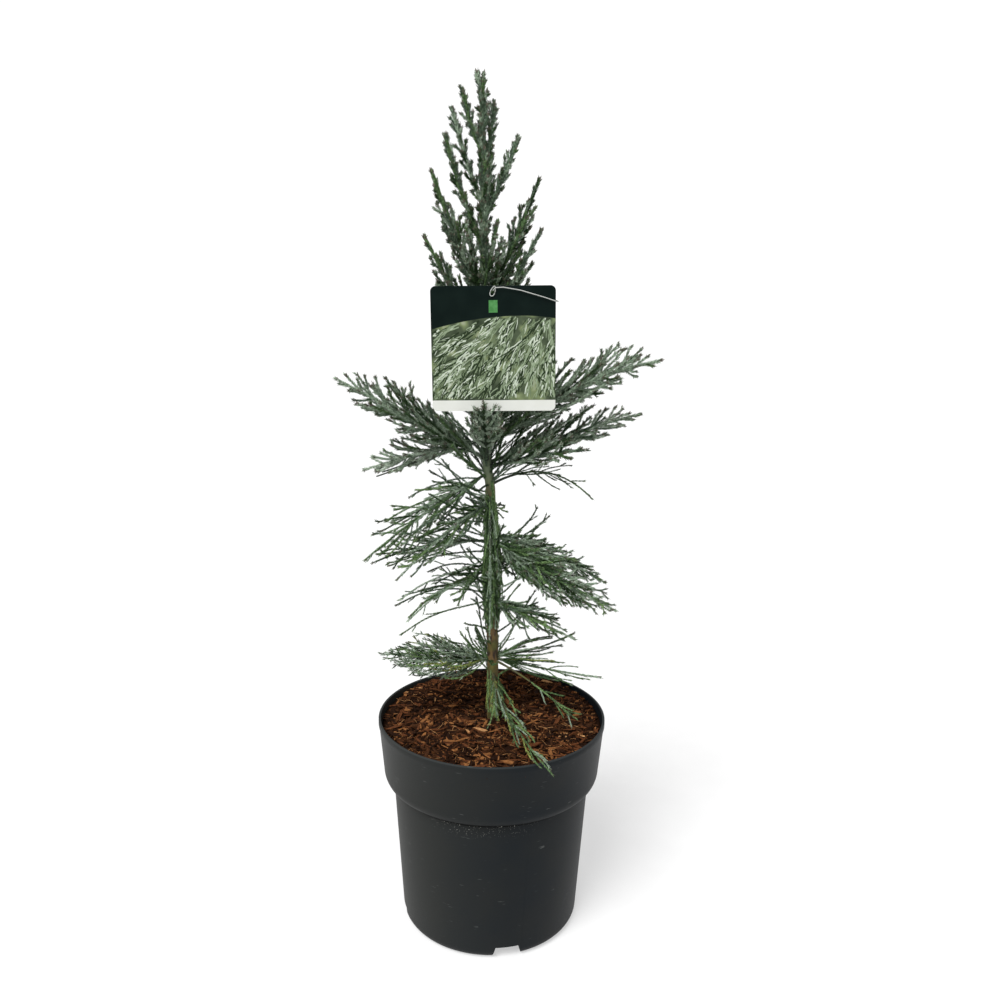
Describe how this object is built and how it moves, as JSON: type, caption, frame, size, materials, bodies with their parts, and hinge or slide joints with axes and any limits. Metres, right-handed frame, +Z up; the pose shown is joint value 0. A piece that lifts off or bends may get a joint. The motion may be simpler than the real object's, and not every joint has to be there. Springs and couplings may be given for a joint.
{
  "type": "young giant sequoia tree in a round nursery pot",
  "caption": "Young conifer with a straight leader, upswept and drooping boughs of awl-shaped blue-green leaves, in a dark round nursery pot of bark chips, with a square hang label.",
  "frame": {"origin": "centre of the pot's flat underside, on the surface that it stands on", "axes": "+Z up along the trunk; -Y the front, where the hang label faces; +X to the right seen from the front"},
  "size_m": [0.2972, 0.233, 0.82],
  "materials": {
    "pot": "dark grey moulded plastic, satin, a little scuffed and dusty",
    "soil": "moist reddish-brown bark and coir chips",
    "bark": "young brown and tan bark with fine ridges, greener towards the top",
    "limbs": "thin green-brown bark ridged by old leaf bases",
    "foliage": "dense sprays of awl-shaped blue-green leaves, waxy and matte",
    "label": "thin printed plastic sheet, satin",
    "loop": "thin white plastic loop"
  },
  "bodies": {
    "root": {"pot": "pot", "soil": "soil", "trunk": "bark", "bough_bottom_front": "limbs", "bough_bottom_left": "limbs", "bough_bottom_right": "limbs", "bough_great_left": "limbs", "bough_great_right": "limbs", "bough_low_back": "limbs", "bough_low_back_left": "limbs", "bough_low_left": "limbs", "bough_low_right": "limbs", "bough_middle_back_left": "limbs", "bough_middle_back_right": "limbs", "bough_middle_front": "limbs", "bough_middle_front_right": "limbs", "bough_middle_left": "limbs", "bough_middle_right": "limbs", "bough_thin_right": "limbs", "foliage_bottom_back": "foliage", "foliage_bottom_front": "foliage", "foliage_bottom_front_right": "foliage", "foliage_bottom_left": "foliage", "foliage_bottom_right": "foliage", "foliage_bottom_right_high": "foliage", "foliage_drooping_left": "foliage", "foliage_drooping_right": "foliage", "foliage_great_left": "foliage", "foliage_great_right": "foliage", "foliage_hanging_front": "foliage", "foliage_high_back": "foliage", "foliage_high_front_left": "foliage", "foliage_high_left": "foliage", "foliage_high_right": "foliage", "foliage_leader": "foliage", "foliage_low_back": "foliage", "foliage_low_back_far": "foliage", "foliage_low_back_left": "foliage", "foliage_low_back_right": "foliage", "foliage_low_front_left": "foliage", "foliage_low_left": "foliage", "foliage_low_right": "foliage", "foliage_middle_back_left": "foliage", "foliage_middle_back_right": "foliage", "foliage_middle_front": "foliage", "foliage_middle_front_right": "foliage", "foliage_middle_left": "foliage", "foliage_middle_right": "foliage", "foliage_shoulder_back": "foliage", "foliage_shoulder_left": "foliage", "foliage_shoulder_right": "foliage", "foliage_thin_right": "foliage", "foliage_top_left": "foliage", "foliage_top_right": "foliage", "foliage_upper_back": "foliage", "foliage_upper_front": "foliage", "foliage_upper_left": "foliage", "foliage_upper_right": "foliage", "label": "label", "label_loop": "loop"}
  },
  "joints": []
}
